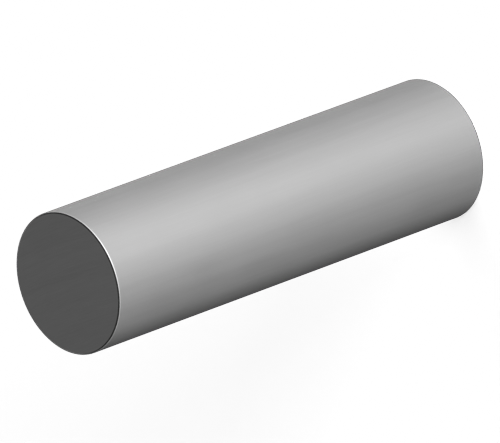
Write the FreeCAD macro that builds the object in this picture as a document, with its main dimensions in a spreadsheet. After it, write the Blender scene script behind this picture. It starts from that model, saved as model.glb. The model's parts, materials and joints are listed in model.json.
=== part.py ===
"""A short round metal bar: one solid piece of bright bar stock, sawn square at both ends.

Frame: +Z is up and runs along the bar, which stands on one sawn face because it would roll on its side.
The origin is the centre of that lower face. Lengths are in millimetres.
"""

import FreeCAD, Part
import os

import Sketcher

# The driving dimensions: alias, value in millimetres, meaning
SIZES = [
    ("bar_diameter", 50.0, "diameter of the barrel"),
    ("bar_length", 175.0, "length over the two sawn faces"),
    ("edge_break", 0.5, "width of the 45 degree edge break round each sawn face"),
]

PARTS_FOLDER = "parts"
FAILED_STATES = ("Invalid", "Error")


def make_sheet(document):
    """The spreadsheet that holds the driving dimensions."""
    sheet = document.addObject("Spreadsheet::Sheet", "sizes")
    for row, (alias, value, meaning) in enumerate(SIZES, start=1):
        sheet.set(f"A{row}", meaning)
        sheet.set(f"B{row}", str(value))
        sheet.setAlias(f"B{row}", alias)
    document.recompute()
    return sheet


def origin_plane(body, role):
    """One of a body's own origin planes, found by its role."""
    for feature in body.Origin.OriginFeatures:
        if feature.Role == role:
            return feature
    raise ValueError(f"{body.Label} has no plane {role}")


def make_section(body, sheet):
    """The bar's round section: one circle about the sketch's origin, on the plane across the bar."""
    section = body.newObject("Sketcher::SketchObject", "Section")
    section.AttachmentSupport = [(origin_plane(body, "XY_Plane"), "")]
    section.MapMode = "FlatFace"
    circle = Part.Circle()
    circle.Radius = sheet.bar_diameter / 2
    outline = section.addGeometry(circle, False)
    # Point 3 of a circle is its centre, and point 1 of geometry -1 is the sketch's own origin
    section.addConstraint(Sketcher.Constraint("Coincident", outline, 3, -1, 1))
    width = section.addConstraint(Sketcher.Constraint("Diameter", outline, sheet.bar_diameter))
    section.setExpression(f"Constraints[{width}]", "sizes.bar_diameter")
    return section


def round_edges(shape):
    """The names of a shape's full-circle edges: the rims of the two sawn faces."""
    rims = []
    for number, edge in enumerate(shape.Edges, start=1):
        if isinstance(edge.Curve, Part.Circle) and edge.isClosed():
            rims.append(f"Edge{number}")
    return rims


def make_round_bar(document, sheet):
    """The bar: its section padded up from the lower face, with the edge broken round each end."""
    body = document.addObject("PartDesign::Body", "RoundBar")
    body.Label = "round_bar"

    barrel = body.newObject("PartDesign::Pad", "Barrel")
    barrel.Profile = make_section(body, sheet)
    barrel.setExpression("Length", "sizes.bar_length")
    document.recompute()

    broken_edges = body.newObject("PartDesign::Chamfer", "BrokenEdges")
    broken_edges.Base = (barrel, round_edges(barrel.Shape))
    broken_edges.setExpression("Size", "sizes.edge_break")
    document.recompute()
    if not broken_edges.Shape.Volume < barrel.Shape.Volume:
        raise RuntimeError("the edge breaks took nothing off the bar")

    body.Tip = broken_edges
    body.Placement = FreeCAD.Placement()
    document.recompute()
    return body


def check_document(document, bodies):
    """Stops the build if any object failed, or a piece isn't one sound closed solid."""
    for item in document.Objects:
        if any(state in FAILED_STATES for state in item.State):
            raise RuntimeError(f"{item.Label} failed to build: {item.State}")
    for body in bodies:
        shape = body.Shape
        if shape.isNull() or not shape.isValid() or len(shape.Solids) != 1:
            raise RuntimeError(f"{body.Label} isn't one valid solid")


def write_parts(bodies):
    """Writes each piece to its own STEP file, named by its label."""
    os.makedirs(PARTS_FOLDER, exist_ok=True)
    for body in bodies:
        body.Shape.exportStep(os.path.join(PARTS_FOLDER, f"{body.Label}.step"))
        print(body.Label, body.Shape.BoundBox, f"{body.Shape.Volume:.1f} mm3")


def main():
    """Builds the document, checks it and writes the piece."""
    document = FreeCAD.newDocument("round_bar_stock")
    sheet = make_sheet(document)
    bodies = [make_round_bar(document, sheet)]
    check_document(document, bodies)
    write_parts(bodies)


main()
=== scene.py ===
"""A short round steel bar, sawn square at both ends and standing on one of them, in a plain pale studio.

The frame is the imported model's: +Z runs up the bar, the origin is the centre of its lower face, and lengths
are in metres. This script gives the bar its fine relief, its finishes, a studio and a camera.
"""

import json
import logging
import math
from collections.abc import Sequence
from dataclasses import dataclass
from enum import Enum

import bpy
from mathutils import Color, Matrix, Vector

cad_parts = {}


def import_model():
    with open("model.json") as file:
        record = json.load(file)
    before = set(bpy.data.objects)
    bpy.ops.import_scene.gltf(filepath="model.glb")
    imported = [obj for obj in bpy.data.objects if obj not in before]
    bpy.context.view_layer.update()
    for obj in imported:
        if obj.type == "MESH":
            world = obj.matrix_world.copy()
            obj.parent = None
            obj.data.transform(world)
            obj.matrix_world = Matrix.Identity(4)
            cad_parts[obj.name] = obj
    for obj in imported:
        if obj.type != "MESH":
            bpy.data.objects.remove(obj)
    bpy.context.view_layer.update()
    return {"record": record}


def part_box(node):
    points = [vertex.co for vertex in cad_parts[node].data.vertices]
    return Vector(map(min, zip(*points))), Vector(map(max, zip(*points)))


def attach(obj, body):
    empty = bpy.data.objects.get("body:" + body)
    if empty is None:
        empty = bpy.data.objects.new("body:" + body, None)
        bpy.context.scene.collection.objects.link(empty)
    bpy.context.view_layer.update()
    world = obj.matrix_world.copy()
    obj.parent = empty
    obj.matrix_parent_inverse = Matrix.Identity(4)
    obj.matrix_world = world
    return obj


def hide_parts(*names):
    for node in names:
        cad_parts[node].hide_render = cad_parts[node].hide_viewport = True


log = logging.getLogger("round_bar")

MM = 0.001
WHITE_LEVEL = 255
EDGE_SLOPE = math.radians(45)
NODE = "round_bar"
SAW_MARKS = "saw_marks"

Sizes = bpy.types.NodeOutputs
Socket = bpy.types.NodeSocket
Fed = Socket | float | int | bool | Sequence[float] | bpy.types.ID


def grey(level: float) -> tuple[float, float, float, float]:
    """An opaque neutral colour of one screen level, from 0 for black to 255 for white."""
    share = level / WHITE_LEVEL
    shade = Color((share, share, share)).from_srgb_to_scene_linear()
    return (*shade, 1.0)


class Wiring:
    """Adds nodes to one tree and joins them, for shapes and finishes alike."""

    def __init__(self, tree: bpy.types.NodeTree) -> None:
        """Keeps the tree that the nodes go into."""
        self.tree = tree

    def feed(self, socket: Socket, value: Fed) -> None:
        """Gives a socket what it reads.

        Args:
            socket: the input socket.
            value: another node's output, which is linked, or a plain value, which is set.
        """
        if isinstance(value, Socket):
            self.tree.links.new(value, socket)
        else:
            socket.default_value = value

    def add(
        self, kind: str, inputs: dict[str | int, Fed] | None = None, **options: object
    ) -> bpy.types.Node:
        """Adds one node.

        Args:
            kind: the node's type, in Blender's own naming.
            inputs: what its sockets read, by their name or number.
            options: the node's own settings, such as its operation.

        Returns:
            The new node.
        """
        node = self.tree.nodes.new(kind)
        for option, value in options.items():
            setattr(node, option, value)
        for key, value in (inputs or {}).items():
            self.feed(node.inputs[key], value)
        return node

    def calc(self, operation: str, *values: Fed, clamp: bool = False) -> Socket:
        """Adds one step of arithmetic.

        Args:
            operation: the Math node's operation.
            values: its operands, in order.
            clamp: whether the result is held between 0 and 1.

        Returns:
            The result's socket.
        """
        node = self.add("ShaderNodeMath", dict(enumerate(values)), operation=operation, use_clamp=clamp)
        return node.outputs[0]

    def total(self, *values: Fed) -> Socket:
        """The sum of two or more values."""
        result = self.calc("ADD", values[0], values[1])
        for value in values[2:]:
            result = self.calc("ADD", result, value)
        return result

    def product(self, *values: Fed) -> Socket:
        """The product of two or more values."""
        result = self.calc("MULTIPLY", values[0], values[1])
        for value in values[2:]:
            result = self.calc("MULTIPLY", result, value)
        return result

    def ramp(self, value: Fed, start: Fed, width: Fed) -> Socket:
        """A value's rise from 0 at start to 1 a width further on, held between the two."""
        return self.calc("DIVIDE", self.calc("SUBTRACT", value, start), width, clamp=True)

    def vector(self, x: Fed, y: Fed, z: Fed) -> Socket:
        """A vector put together from its three parts."""
        return self.add("ShaderNodeCombineXYZ", {"X": x, "Y": y, "Z": z}).outputs[0]

    def parts(self, vector: Socket) -> tuple[Socket, Socket, Socket]:
        """A vector's three parts."""
        node = self.add("ShaderNodeSeparateXYZ", {0: vector})
        return node.outputs["X"], node.outputs["Y"], node.outputs["Z"]

    def scaled(self, vector: Fed, scale: Fed) -> Socket:
        """A vector times one number."""
        return self.add("ShaderNodeVectorMath", {0: vector, "Scale": scale}, operation="SCALE").outputs[0]

    def cell(self, rows: Fed) -> tuple[Socket, Socket]:
        """A grid point's place in its grid, worked out from its index.

        Args:
            rows: how many points each of the grid's columns has.

        Returns:
            The point's column and its row, both counted from 0.
        """
        pair = {0: self.add("GeometryNodeInputIndex").outputs[0], 1: rows}
        column = self.add("FunctionNodeIntegerMath", pair, operation="DIVIDE_FLOOR").outputs[0]
        row = self.add("FunctionNodeIntegerMath", pair, operation="MODULO").outputs[0]
        return column, row

    def noise(self, vector: Fed, seed: Fed, detail: float, roughness: float = 0.5) -> Socket:
        """Soft random values with features about one unit apart.

        Args:
            vector: where the noise is read.
            seed: the fixed number that picks this noise from all others.
            detail: how many finer layers are added.
            roughness: how strong each finer layer is beside the one before.

        Returns:
            The noise, mostly between 0.2 and 0.8 about a mean of 0.5.
        """
        inputs = {"Vector": vector, "W": seed, "Scale": 1.0, "Detail": detail, "Roughness": roughness}
        return self.add("ShaderNodeTexNoise", inputs, noise_dimensions="4D").outputs[0]


def open_group(kind: str, name: str, inputs: dict[str, str], outputs: dict[str, str]) -> bpy.types.NodeTree:
    """Makes an empty node group with its named sockets.

    Args:
        kind: the type of tree.
        name: the group's name.
        inputs: each input's name and socket type, in order.
        outputs: each output's name and socket type, in order.

    Returns:
        The group, holding nothing else yet.
    """
    tree = bpy.data.node_groups.new(name, kind)
    for socket_name, socket_type in inputs.items():
        tree.interface.new_socket(socket_name, in_out="INPUT", socket_type=socket_type)
    for socket_name, socket_type in outputs.items():
        tree.interface.new_socket(socket_name, in_out="OUTPUT", socket_type=socket_type)
    return tree


class Coordinates(Enum):
    """What a finish's pattern is laid out on."""

    BAR = "the bar's own axes"
    SAW = "across and along the saw's marks on each end"


@dataclass(frozen=True)
class SteelFinish:
    """One finish of the bar's steel: its colour, its gloss and the fine lines that its making left.

    The level is a screen level. A small part of line_stretch draws the lines out along that coordinate, and
    edge_tint is the share of its mirrored light that the metal keeps at a glancing view.
    """

    name: str
    level: float
    roughness: float
    coordinates: Coordinates
    line_stretch: tuple[float, float, float]
    line_width: float
    line_contrast: float
    patch_size: float
    patch_contrast: float
    roughness_spread: float
    line_height: float
    anisotropy: float = 0.0
    edge_tint: float = 1.0

    def material(self, surface: bpy.types.NodeTree) -> bpy.types.Material:
        """Makes the finish's material.

        Args:
            surface: the shared group that turns lines and patches into colour, roughness and height.

        Returns:
            The material.
        """
        material = bpy.data.materials.new(self.name)
        material.use_nodes = True
        material.node_tree.nodes.clear()
        wires = Wiring(material.node_tree)
        own = wires.add("ShaderNodeTexCoord").outputs["Object"]
        place = own
        if self.coordinates is Coordinates.SAW:
            place = wires.add("ShaderNodeAttribute", attribute_name=SAW_MARKS).outputs["Vector"]
        stretch = {0: place, 1: self.line_stretch}
        lined = wires.add("ShaderNodeVectorMath", stretch, operation="MULTIPLY").outputs[0]
        inputs = {
            "Line Vector": lined,
            "Patch Vector": own,
            "Colour": grey(self.level),
            "Roughness": self.roughness,
            "Line Width": self.line_width,
            "Line Contrast": self.line_contrast,
            "Patch Size": self.patch_size,
            "Patch Contrast": self.patch_contrast,
            "Roughness Spread": self.roughness_spread,
        }
        skin = wires.add("ShaderNodeGroup", node_tree=surface)
        for key, value in inputs.items():
            wires.feed(skin.inputs[key], value)
        bump = wires.add("ShaderNodeBump", {"Height": skin.outputs["Height"], "Distance": self.line_height})
        metal = {
            "Base Color": skin.outputs["Color"],
            "Roughness": skin.outputs["Roughness"],
            "Metallic": 1.0,
            "Anisotropic": self.anisotropy,
            "Specular Tint": (self.edge_tint, self.edge_tint, self.edge_tint, 1.0),
            "Normal": bump.outputs["Normal"],
        }
        shader = wires.add("ShaderNodeBsdfPrincipled", metal)
        wires.add("ShaderNodeOutputMaterial", {"Surface": shader.outputs[0]})
        return material


def steel_surface() -> bpy.types.NodeTree:
    """The effect that all the bar's finishes share: fine parallel lines over soft, faint patches.

    Returns:
        A shader group that gives colour, roughness and height from a finish's own values.
    """
    number, vector, colour = "NodeSocketFloat", "NodeSocketVector", "NodeSocketColor"
    inputs = {
        "Line Vector": vector,
        "Patch Vector": vector,
        "Colour": colour,
        "Roughness": number,
        "Line Width": number,
        "Line Contrast": number,
        "Patch Size": number,
        "Patch Contrast": number,
        "Roughness Spread": number,
    }
    outputs = {"Color": colour, "Roughness": number, "Height": number}
    group = open_group("ShaderNodeTree", "steel_surface", inputs, outputs)
    wires = Wiring(group)
    given = wires.add("NodeGroupInput").outputs

    gain = 4.0
    broad_ratio = 9.0
    fine_share = 0.6

    def spread_about_zero(place: Socket, size: Socket, seed: float, detail: float) -> Socket:
        """Noise of a given feature size, mostly between -1 and 1."""
        read_at = wires.scaled(place, wires.calc("DIVIDE", 1.0, size))
        soft = wires.noise(read_at, seed, detail, roughness=0.6)
        return wires.calc("MULTIPLY_ADD", soft, gain, -gain / 2)

    broad_width = wires.product(given["Line Width"], broad_ratio)
    fine = spread_about_zero(given["Line Vector"], given["Line Width"], seed=1.0, detail=3.0)
    broad = spread_about_zero(given["Line Vector"], broad_width, seed=2.0, detail=2.0)
    patch = spread_about_zero(given["Patch Vector"], given["Patch Size"], seed=3.0, detail=2.0)
    lines = wires.total(wires.product(fine, fine_share), wires.product(broad, 1 - fine_share))
    tone = wires.total(
        1.0, wires.product(lines, given["Line Contrast"]), wires.product(patch, given["Patch Contrast"])
    )
    gloss = wires.product(wires.total(lines, patch), 0.5)
    roughness = wires.calc("MULTIPLY_ADD", gloss, given["Roughness Spread"], given["Roughness"], clamp=True)
    result = {"Color": wires.scaled(given["Colour"], tone), "Roughness": roughness, "Height": lines}
    wires.add("NodeGroupOutput", result)
    return group


@dataclass(frozen=True)
class SawPattern:
    """How a saw's marks vary, in marks across them and in half diameters along them.

    Each rate is how fast its noise is read, and each layer is a place in the noise that nothing else
    reads. The two ends are laid end_gap metres apart in the finish's pattern, so that they differ.
    """

    wander: float = 3.0
    wander_rate: float = 0.22
    strength_rate: float = 0.6
    strength_side_rate: float = 0.8
    strength_layer: float = 7.0
    ragged_rate: float = 2.3
    ragged_side_rate: float = 1.6
    ragged_layer: float = 3.0
    wave_share: float = 0.9
    ragged_share: float = 0.45
    end_gap: float = 0.1


@dataclass
class RoundBar:
    """The bar: one piece of round steel, drawn along its length, sawn at both ends, its edges broken."""

    diameter: float
    length: float
    edge_break: float
    face_corner: float = 0.12 * MM
    barrel_corner: float = 0.4 * MM
    rim_width: float = 0.6 * MM
    row_gap: float = 0.25 * MM
    ring_spacing: float = 4.0 * MM
    merge_gap: float = 0.002 * MM
    columns: int = 768
    chord_rows: int = 25
    corner_steps: int = 4
    line_width: float = 1.1 * MM
    line_depth: float = 0.008 * MM
    line_fade: float = 2.0 * MM
    line_stretch: float = 0.01
    saw_pitch: float = 1.3 * MM
    saw_depth: float = 0.05 * MM
    saw_bow: float = 1.2 * MM
    saw_margin: float = 0.05 * MM
    lower_turn: float = math.radians(37.5)
    seed: float = 5.0

    saw = SawPattern()
    barrel = SteelFinish(
        name="drawn_barrel",
        level=143,
        roughness=0.75,
        coordinates=Coordinates.BAR,
        line_stretch=(1.0, 1.0, 0.012),
        line_width=0.3 * MM,
        line_contrast=0.06,
        patch_size=26.0 * MM,
        patch_contrast=0.006,
        roughness_spread=0.035,
        line_height=0.009 * MM,
        anisotropy=0.22,
        edge_tint=0.2,
    )
    # The edge break's near-black level is painted shade: a dark line round each rim, darker than the steel
    # itself is.
    edge = SteelFinish(
        name="painted_shade_edge",
        level=38,
        roughness=0.6,
        coordinates=Coordinates.BAR,
        line_stretch=(0.02, 0.02, 1.0),
        line_width=0.12 * MM,
        line_contrast=0.05,
        patch_size=9.0 * MM,
        patch_contrast=0.03,
        roughness_spread=0.06,
        line_height=0.003 * MM,
    )
    # The corner's level, lighter than the barrel's, is a painted highlight: a thin bright line along each
    # rim, on top of the real glint of the rounding itself.
    corner = SteelFinish(
        name="painted_highlight_corner",
        level=170,
        roughness=0.7,
        coordinates=Coordinates.BAR,
        line_stretch=(0.02, 0.02, 1.0),
        line_width=0.1 * MM,
        line_contrast=0.03,
        patch_size=7.0 * MM,
        patch_contrast=0.04,
        roughness_spread=0.08,
        line_height=0.002 * MM,
    )
    # The flat faces' dark level is painted shade: they are darker than the barrel so that they look turned
    # away from the light, not because sawn steel is that dark. The saw marks on them are their own.
    sawn = SteelFinish(
        name="painted_shade_sawn_face",
        level=85,
        roughness=0.52,
        coordinates=Coordinates.SAW,
        line_stretch=(1.0, 0.03, 1.0),
        line_width=0.28 * MM,
        line_contrast=0.16,
        patch_size=12.0 * MM,
        patch_contrast=0.04,
        roughness_spread=0.1,
        line_height=0.012 * MM,
    )

    @classmethod
    def from_frame(cls, record: dict) -> "RoundBar":
        """Takes the bar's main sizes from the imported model.

        Args:
            record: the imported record, whose barrel mount runs from one edge break to the other.

        Returns:
            The bar at its packed size.
        """
        barrel = next(mount["dims"] for mount in record["mounts"] if mount["name"] == "barrel")
        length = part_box(NODE)[1].z
        return cls(
            diameter=2 * barrel["r_mm"] * MM,
            length=length,
            edge_break=(length - barrel["length_mm"] * MM) / 2,
        )

    def sizes(self) -> dict[str, float | int]:
        """The named sizes that the shape's tree takes, in order."""
        return {
            "Diameter": self.diameter,
            "Length": self.length,
            "Edge Break": self.edge_break,
            "Face Corner": self.face_corner,
            "Barrel Corner": self.barrel_corner,
            "Rim Width": self.rim_width,
            "Row Gap": self.row_gap,
            "Ring Spacing": self.ring_spacing,
            "Merge Gap": self.merge_gap,
            "Line Width": self.line_width,
            "Line Depth": self.line_depth,
            "Line Fade": self.line_fade,
            "Line Stretch": self.line_stretch,
            "Saw Pitch": self.saw_pitch,
            "Saw Depth": self.saw_depth,
            "Saw Bow": self.saw_bow,
            "Saw Margin": self.saw_margin,
            "Lower Turn": self.lower_turn,
            "Seed": self.seed,
            "Columns": self.columns,
            "Chord Rows": self.chord_rows,
            "Corner Steps": self.corner_steps,
        }

    def outline(self, wires: Wiring, size: Sizes, radius: Socket, face_radius: Socket) -> Socket:
        """Adds the bar's outline, from inside the lower face's rim up to inside the upper one's.

        Args:
            wires: the tree's wiring.
            size: the tree's named inputs.
            radius: the barrel's radius.
            face_radius: the radius of a flat face, inside its edge break.

        Returns:
            A polyline in the XZ plane, with its four corners rounded and its long side divided.
        """
        lower = {
            "inner ring": (wires.calc("SUBTRACT", face_radius, size["Rim Width"]), 0.0),
            "outer ring": (wires.calc("SUBTRACT", face_radius, size["Row Gap"]), 0.0),
            "face corner": (face_radius, 0.0),
            "barrel corner": (radius, size["Edge Break"]),
            "barrel ring": (radius, wires.total(size["Edge Break"], size["Row Gap"])),
        }
        places = list(lower)
        count = 2 * len(places)
        index = wires.add("GeometryNodeInputIndex").outputs[0]
        fold = wires.calc("MINIMUM", index, wires.calc("SUBTRACT", count - 1, index))
        pick = wires.add("GeometryNodeIndexSwitch", data_type="VECTOR")
        while len(pick.index_switch_items) < len(lower):
            pick.index_switch_items.new()
        wires.feed(pick.inputs["Index"], fold)
        for number, (across, height) in enumerate(lower.values()):
            wires.feed(pick.inputs[1 + number], wires.vector(across, 0.0, height))
        across, _, height = wires.parts(pick.outputs[0])
        upper = wires.calc("GREATER_THAN", index, (count - 1) / 2)
        mirrored = wires.calc("SUBTRACT", size["Length"], wires.product(height, 2.0))
        place = wires.vector(across, 0.0, wires.calc("MULTIPLY_ADD", upper, mirrored, height))
        points = wires.add("GeometryNodeMeshLine", {"Count": count}).outputs[0]
        line = wires.add("GeometryNodeMeshToCurve", {"Mesh": points}).outputs[0]
        drawn = wires.add("GeometryNodeSetPosition", {"Geometry": line, "Position": place}).outputs[0]
        tolerance = 0.1
        at_face = wires.calc("COMPARE", fold, places.index("face corner"), tolerance)
        at_barrel = wires.calc("COMPARE", fold, places.index("barrel corner"), tolerance)
        on_face = wires.product(at_face, size["Face Corner"])
        on_barrel = wires.product(at_barrel, size["Barrel Corner"])
        rounding = {
            "Curve": drawn,
            "Count": size["Corner Steps"],
            "Radius": wires.total(on_face, on_barrel),
        }
        rounded = wires.add("GeometryNodeFilletCurve", rounding, mode="POLY").outputs[0]
        here = wires.add("GeometryNodeInputPosition").outputs[0]
        ahead = wires.add("GeometryNodeFieldAtIndex", data_type="FLOAT_VECTOR", domain="POINT")
        wires.feed(ahead.inputs["Value"], here)
        wires.feed(ahead.inputs["Index"], wires.calc("ADD", index, 1.0))
        ends = {0: here, 1: ahead.outputs[0]}
        span = wires.add("ShaderNodeVectorMath", ends, operation="DISTANCE").outputs["Value"]
        cuts = wires.calc("FLOOR", wires.calc("DIVIDE", span, size["Ring Spacing"]))
        return wires.add("GeometryNodeSubdivideCurve", {"Curve": rounded, "Cuts": cuts}).outputs[0]

    def wall(self, wires: Wiring, size: Sizes, outline: Socket) -> Socket:
        """Adds the wall: the outline carried round the bar's axis.

        Args:
            wires: the tree's wiring.
            size: the tree's named inputs.
            outline: the polyline in the XZ plane.

        Returns:
            The wall's mesh, open at the two rims.
        """
        counted = wires.add("GeometryNodeAttributeDomainSize", {"Geometry": outline}, component="CURVE")
        rows = counted.outputs["Point Count"]
        grid = {"Vertices X": wires.calc("ADD", size["Columns"], 1.0), "Vertices Y": rows}
        sheet = wires.add("GeometryNodeMeshGrid", grid).outputs["Mesh"]
        column, row = wires.cell(rows)
        here = wires.add("GeometryNodeInputPosition").outputs[0]
        taken = wires.add("GeometryNodeSampleIndex", data_type="FLOAT_VECTOR", domain="POINT")
        wires.feed(taken.inputs["Geometry"], outline)
        wires.feed(taken.inputs["Value"], here)
        wires.feed(taken.inputs["Index"], row)
        across, _, height = wires.parts(taken.outputs[0])
        angle = wires.calc("DIVIDE", wires.product(column, math.tau), size["Columns"])
        round_x = wires.product(across, wires.calc("COSINE", angle))
        round_y = wires.product(across, wires.calc("SINE", angle))
        place = wires.vector(round_x, round_y, height)
        return wires.add("GeometryNodeSetPosition", {"Geometry": sheet, "Position": place}).outputs[0]

    def face(self, wires: Wiring, size: Sizes, disc_radius: Socket) -> Socket:
        """Adds one flat round face, laid out in straight chords so that its rows follow the saw's marks.

        Args:
            wires: the tree's wiring.
            size: the tree's named inputs.
            disc_radius: the radius at which the face meets the wall's first row.

        Returns:
            The face's mesh, on the XY plane and looking up, its chords along Y.
        """
        half = wires.calc("DIVIDE", size["Columns"], 2.0)
        grid = {"Vertices X": wires.calc("ADD", half, 1.0), "Vertices Y": size["Chord Rows"]}
        sheet = wires.add("GeometryNodeMeshGrid", grid).outputs["Mesh"]
        chord, row = wires.cell(size["Chord Rows"])
        turn = wires.calc("DIVIDE", wires.product(chord, math.pi), half)
        angle = wires.calc("SUBTRACT", turn, math.pi / 2)
        last_row = wires.calc("SUBTRACT", size["Chord Rows"], 1.0)
        along = wires.calc("MULTIPLY_ADD", wires.calc("DIVIDE", row, last_row), 2.0, -1.0)
        chord_x = wires.product(disc_radius, wires.calc("SINE", angle))
        chord_y = wires.product(disc_radius, wires.calc("COSINE", angle), along)
        place = wires.vector(chord_x, chord_y, 0.0)
        return wires.add("GeometryNodeSetPosition", {"Geometry": sheet, "Position": place}).outputs[0]

    def drawn_lines(self, wires: Wiring, size: Sizes, place: tuple[Socket, Socket, Socket]) -> Socket:
        """Adds how deep the drawing die's lines lie under the barrel's surface.

        Args:
            wires: the tree's wiring.
            size: the tree's named inputs.
            place: a point's three coordinates.

        Returns:
            The depth, which fades out before the edge breaks.
        """
        x, y, z = place
        start = wires.total(size["Edge Break"], size["Row Gap"])
        fade = size["Line Fade"]
        from_top = wires.calc("SUBTRACT", size["Length"], z)
        held = wires.product(wires.ramp(z, start, fade), wires.ramp(from_top, start, fade))
        drawn_out = wires.vector(x, y, wires.product(z, size["Line Stretch"]))
        read_at = wires.scaled(drawn_out, wires.calc("DIVIDE", 1.0, size["Line Width"]))
        lines = wires.noise(read_at, size["Seed"], detail=2.0, roughness=0.6)
        return wires.product(lines, held, size["Line Depth"])

    def saw_lines(self, wires: Wiring, size: Sizes, across: Socket, half_width: Socket) -> Socket:
        """Adds how deep the saw's marks lie under a face: long lines of uneven pitch and strength.

        Args:
            wires: the tree's wiring.
            size: the tree's named inputs.
            across: the distance from the middle mark, across the marks.
            half_width: the place along a mark, from -1 to 1 over the bar's diameter.

        Returns:
            The depth, before it fades out at the rim.
        """
        saw = self.saw
        step = wires.calc("DIVIDE", across, size["Saw Pitch"])

        def read(rate: float, side_rate: float, layer: float, detail: float) -> Socket:
            """Noise that is read a rate at a time across the marks and a side rate at a time along them."""
            place = wires.vector(wires.product(step, rate), wires.product(half_width, side_rate), layer)
            return wires.noise(place, size["Seed"], detail)

        slow = read(saw.wander_rate, side_rate=0.0, layer=0.0, detail=1.0)
        phase = wires.calc("MULTIPLY_ADD", slow, saw.wander, step)
        wave = wires.calc("MULTIPLY_ADD", wires.calc("SINE", wires.product(phase, math.tau)), 0.5, 0.5)
        strength = read(saw.strength_rate, saw.strength_side_rate, saw.strength_layer, detail=1.0)
        ragged = read(saw.ragged_rate, saw.ragged_side_rate, saw.ragged_layer, detail=2.0)
        waves = wires.product(wave, strength, saw.wave_share)
        mixed = wires.total(waves, wires.product(ragged, saw.ragged_share))
        return wires.calc("MULTIPLY", mixed, size["Saw Depth"])

    def relief(self, wires: Wiring, size: Sizes, solid: Socket, face_radius: Socket) -> Socket:
        """Presses the fine lines into the closed mesh, always inwards, so that the bar's sizes hold.

        Args:
            wires: the tree's wiring.
            size: the tree's named inputs.
            solid: the closed mesh.
            face_radius: the radius of a flat face, inside its edge break.

        Returns:
            The mesh with its relief, and with the marks' own coordinates stored on its points.
        """
        here = wires.add("GeometryNodeInputPosition").outputs[0]
        x, y, z = wires.parts(here)
        flat = wires.vector(x, y, 0.0)
        from_axis = wires.add("ShaderNodeVectorMath", {0: flat}, operation="LENGTH").outputs["Value"]
        outward = wires.add("ShaderNodeVectorMath", {0: flat}, operation="NORMALIZE").outputs[0]
        upper = wires.calc("GREATER_THAN", z, wires.product(size["Length"], 0.5))
        turn = wires.product(size["Lower Turn"], wires.calc("SUBTRACT", 1.0, upper))
        cosine = wires.calc("COSINE", turn)
        sine = wires.calc("SINE", turn)
        across = wires.total(wires.product(x, cosine), wires.product(y, sine))
        along = wires.calc("SUBTRACT", wires.product(y, cosine), wires.product(x, sine))
        half_width = wires.calc("DIVIDE", along, wires.product(size["Diameter"], 0.5))
        bowed = wires.calc("MULTIPLY_ADD", wires.product(half_width, half_width), size["Saw Bow"], across)
        marks = wires.vector(bowed, along, wires.product(upper, self.saw.end_gap))
        named = {"Geometry": solid, "Name": SAW_MARKS, "Value": marks}
        marked = wires.add("GeometryNodeStoreNamedAttribute", data_type="FLOAT_VECTOR", domain="POINT")
        for key, value in named.items():
            wires.feed(marked.inputs[key], value)
        from_rim = wires.calc("SUBTRACT", face_radius, from_axis)
        held = wires.ramp(from_rim, size["Saw Margin"], size["Row Gap"])
        saw_depth = wires.product(self.saw_lines(wires, size, bowed, half_width), held)
        lift = wires.product(saw_depth, wires.calc("MULTIPLY_ADD", upper, -2.0, 1.0))
        inward = wires.product(self.drawn_lines(wires, size, (x, y, z)), -1.0)
        sunk = wires.scaled(outward, inward)
        shifts = {0: sunk, 1: wires.vector(0.0, 0.0, lift)}
        offset = wires.add("ShaderNodeVectorMath", shifts, operation="ADD")
        moved = {"Geometry": marked.outputs[0], "Offset": offset.outputs[0]}
        return wires.add("GeometryNodeSetPosition", moved).outputs[0]

    def finished(self, wires: Wiring, size: Sizes, mesh: Socket, face_radius: Socket) -> Socket:
        """Gives each surface its finish.

        Args:
            wires: the tree's wiring.
            size: the tree's named inputs.
            mesh: the whole mesh.
            face_radius: the radius of a flat face, inside its edge break.

        Returns:
            The finished mesh.
        """
        here = wires.add("GeometryNodeInputPosition").outputs[0]
        x, y, z = wires.parts(here)
        from_axis = wires.add("ShaderNodeVectorMath", {0: wires.vector(x, y, 0.0)}, operation="LENGTH")
        middle = wires.product(size["Length"], 0.5)
        from_middle = wires.calc("ABSOLUTE", wires.calc("SUBTRACT", z, middle))
        from_end = wires.calc("SUBTRACT", wires.calc("SUBTRACT", middle, from_middle), size["Edge Break"])
        beyond = wires.calc("LESS_THAN", from_end, 0.0)
        bent = wires.product(size["Barrel Corner"], math.tan(EDGE_SLOPE / 2))
        cornered = wires.calc("LESS_THAN", wires.calc("ABSOLUTE", from_end), bent)
        within = wires.calc("LESS_THAN", from_axis.outputs["Value"], face_radius)
        surface = steel_surface()
        result = wires.add("GeometryNodeRealizeInstances", {"Geometry": mesh}).outputs[0]
        # The edge breaks' dark level and the flat faces' dark level are painted shade, and the corners' light
        # level is a painted highlight.
        zones = ((self.barrel, True), (self.edge, beyond), (self.corner, cornered), (self.sawn, within))
        for finish, chosen in zones:
            inputs = {"Geometry": result, "Selection": chosen, "Material": finish.material(surface)}
            result = wires.add("GeometryNodeSetMaterial", inputs).outputs[0]
        return result

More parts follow.
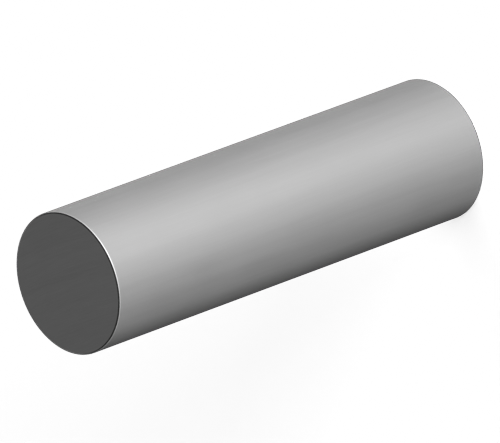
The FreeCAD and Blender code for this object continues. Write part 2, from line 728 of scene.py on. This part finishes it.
    def shape(self) -> bpy.types.NodeTree:
        """Builds the tree that makes the bar from its named sizes."""
        inputs = {
            name: "NodeSocketInt" if isinstance(value, int) else "NodeSocketFloat"
            for name, value in self.sizes().items()
        }
        tree = open_group("GeometryNodeTree", "round_bar_shape", inputs, {"Geometry": "NodeSocketGeometry"})
        wires = Wiring(tree)
        size = wires.add("NodeGroupInput").outputs
        radius = wires.product(size["Diameter"], 0.5)
        face_radius = wires.calc("SUBTRACT", radius, size["Edge Break"])
        disc_radius = wires.calc("SUBTRACT", face_radius, size["Rim Width"])
        wall = self.wall(wires, size, self.outline(wires, size, radius, face_radius))
        face = self.face(wires, size, disc_radius)
        up = {"Geometry": face, "Translation": wires.vector(0.0, 0.0, size["Length"])}
        upper = wires.add("GeometryNodeTransform", up).outputs[0]
        turned = {"Geometry": face, "Rotation": wires.vector(0.0, 0.0, size["Lower Turn"])}
        lower = wires.add("GeometryNodeTransform", turned).outputs[0]
        lower = wires.add("GeometryNodeFlipFaces", {"Mesh": lower}).outputs[0]
        joined = wires.add("GeometryNodeJoinGeometry")
        for part in (wall, upper, lower):
            wires.feed(joined.inputs[0], part)
        merged = {"Geometry": joined.outputs[0], "Distance": size["Merge Gap"]}
        closed = wires.add("GeometryNodeMergeByDistance", merged).outputs[0]
        relieved = self.relief(wires, size, closed, face_radius)
        shading = {"Geometry": relieved, "Shade Smooth": True}
        smooth = wires.add("GeometryNodeSetShadeSmooth", shading).outputs[0]
        wires.add("NodeGroupOutput", {"Geometry": self.finished(wires, size, smooth, face_radius)})
        return tree

    def build(self) -> bpy.types.Object:
        """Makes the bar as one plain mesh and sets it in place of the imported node.

        Returns:
            The bar's object.
        """
        bar = bpy.data.objects.new("steel_bar", bpy.data.meshes.new("steel_bar"))
        bpy.context.scene.collection.objects.link(bar)
        shaper = bar.modifiers.new("shape", "NODES")
        shaper.node_group = self.shape()
        values = self.sizes()
        for item in shaper.node_group.interface.items_tree:
            if item.in_out == "INPUT":
                shaper[item.identifier] = values[item.name]
        made = bar.evaluated_get(bpy.context.evaluated_depsgraph_get())
        mesh = bpy.data.meshes.new_from_object(made)
        # A tree's mesh starts with one empty material slot, and no face uses it
        mesh.materials.pop(index=0)
        bar.modifiers.remove(shaper)
        bar.data = mesh
        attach(bar, "root")
        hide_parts(NODE)
        return bar


@dataclass(frozen=True)
class SoftBox:
    """A long flat lamp that stands just above the floor and faces the middle of the bar."""

    name: str
    azimuth: float
    width: float
    power: float
    distance: float = 3.5
    middle_height: float = 0.025
    height: float = 0.04

    def hang(self, aim: Vector) -> bpy.types.Object:
        """Makes the lamp and turns it to its aim.

        Args:
            aim: the point that the lamp faces.

        Returns:
            The lamp's object.
        """
        lamp = bpy.data.lights.new(self.name, "AREA")
        lamp.shape = "RECTANGLE"
        lamp.size = self.width
        lamp.size_y = self.height
        lamp.energy = self.power
        box = bpy.data.objects.new(self.name, lamp)
        bpy.context.scene.collection.objects.link(box)
        box.location = direction(self.azimuth, 0.0) * self.distance
        box.location.z = self.middle_height
        box.rotation_mode = "QUATERNION"
        box.rotation_quaternion = (box.location - aim).to_track_quat("Z", "Y")
        return box


def direction(azimuth: float, elevation: float) -> Vector:
    """The unit vector towards a place in the studio.

    Args:
        azimuth: degrees from -Y towards +X.
        elevation: degrees above the floor.

    Returns:
        The unit vector.
    """
    turn = math.radians(azimuth)
    rise = math.radians(elevation)
    return Vector((math.sin(turn) * math.cos(rise), -math.cos(turn) * math.cos(rise), math.sin(rise)))


@dataclass(frozen=True)
class PictureCamera:
    """A long-lens camera that sees the bar as the picture does: from above its near end, and rolled.

    The bar's upper end points axis_angle degrees round from the picture's right, counterclockwise.
    bar_width and bar_centre are in the picture's pixels, from its upper left corner.
    """

    azimuth: float = 0.0
    elevation: float = 40.87
    axis_angle: float = 200.27
    lens: float = 1200.0
    sensor: float = 36.0
    picture_width: int = 500
    picture_height: int = 443
    bar_width: float = 146.8
    bar_centre: tuple[float, float] = (251.4, 215.75)
    nearest: float = 0.1
    furthest: float = 100.0

    def place(self, aim: Vector, diameter: float) -> bpy.types.Object:
        """Makes the camera and makes it the scene's own.

        Args:
            aim: the middle of the bar.
            diameter: the bar's diameter, which spans bar_width pixels of the picture.

        Returns:
            The camera's object.
        """
        data = bpy.data.cameras.new("picture_camera")
        data.lens = self.lens
        data.sensor_width = self.sensor
        data.clip_start = self.nearest
        data.clip_end = self.furthest
        camera = bpy.data.objects.new("picture_camera", data)
        bpy.context.scene.collection.objects.link(camera)
        back = direction(self.azimuth, self.elevation)
        sideways = Vector((0.0, 0.0, 1.0)).cross(back).normalized()
        bar_up = back.cross(sideways)
        roll = math.radians(self.axis_angle)
        right = bar_up * math.cos(roll) + sideways * math.sin(roll)
        up = bar_up * math.sin(roll) - sideways * math.cos(roll)
        pixel = diameter / self.bar_width
        distance = self.picture_width * pixel * self.lens / self.sensor
        off_right = (self.bar_centre[0] - self.picture_width / 2) * pixel
        off_up = (self.picture_height / 2 - self.bar_centre[1]) * pixel
        spot = aim + back * distance - right * off_right - up * off_up
        turn = Matrix((right, up, back)).transposed().to_4x4()
        camera.matrix_world = Matrix.Translation(spot) @ turn
        bpy.context.scene.camera = camera
        return camera


@dataclass
class Studio:
    """A plain pale floor, a white surround and soft lamps."""

    floor_size: float = 12.0
    floor_level: float = 152.0
    ambient: float = 0.2

    key = SoftBox("key", azimuth=20.5, width=1.4, power=348)
    fill = SoftBox("fill", azimuth=180, width=1.2, power=180)

    def lay_floor(self) -> bpy.types.Object:
        """Lays the pale floor, which shows the white surround and keeps the bar's shadow."""
        mesh = bpy.data.meshes.new("floor")
        half = self.floor_size / 2
        points = [(-half, -half, 0.0), (half, -half, 0.0), (half, half, 0.0), (-half, half, 0.0)]
        mesh.from_pydata(points, [], [range(len(points))])
        floor = bpy.data.objects.new("floor", mesh)
        bpy.context.scene.collection.objects.link(floor)
        material = bpy.data.materials.new("pale_floor")
        material.use_nodes = True
        material.node_tree.nodes.clear()
        wires = Wiring(material.node_tree)
        matt = wires.add("ShaderNodeBsdfDiffuse", {"Color": grey(self.floor_level)})
        wires.add("ShaderNodeOutputMaterial", {"Surface": matt.outputs[0]})
        mesh.materials.append(material)
        floor.is_shadow_catcher = True
        return floor

    def light_surround(self) -> bpy.types.World:
        """Makes the surround: white where it is seen or mirrored, and dim where it only lights."""
        world = bpy.data.worlds.new("white_surround")
        world.use_nodes = True
        world.node_tree.nodes.clear()
        wires = Wiring(world.node_tree)
        rays = wires.add("ShaderNodeLightPath").outputs
        seen = wires.calc("MAXIMUM", rays["Is Camera Ray"], rays["Is Glossy Ray"])
        seen = wires.calc("MAXIMUM", seen, rays["Is Transmission Ray"])
        strength = wires.add("ShaderNodeMapRange", {"Value": seen, "To Min": self.ambient, "To Max": 1.0})
        inputs = {"Color": grey(WHITE_LEVEL), "Strength": strength.outputs[0]}
        background = wires.add("ShaderNodeBackground", inputs)
        wires.add("ShaderNodeOutputWorld", {"Surface": background.outputs[0]})
        bpy.context.scene.world = world
        return world

    def set_up(self, aim: Vector) -> None:
        """Lays the floor, lights the surround and hangs the lamps.

        Args:
            aim: the point that the lamps face.
        """
        self.lay_floor()
        self.light_surround()
        for box in (self.key, self.fill):
            box.hang(aim)
        bpy.context.scene.view_settings.view_transform = "Standard"


def main() -> None:
    """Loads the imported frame, builds the bar round it, and sets the studio and the camera."""
    logging.basicConfig(level=logging.INFO, format="%(name)s: %(message)s")
    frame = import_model()
    bar = RoundBar.from_frame(frame["record"])
    piece = bar.build()
    log.info("%s: %d faces", piece.name, len(piece.data.polygons))
    middle = Vector((0.0, 0.0, bar.length / 2))
    Studio().set_up(middle)
    camera = PictureCamera().place(middle, bar.diameter)
    log.info("%s: %.2f m from the bar", camera.name, (camera.location - middle).length)


if __name__ == "__main__":
    main()
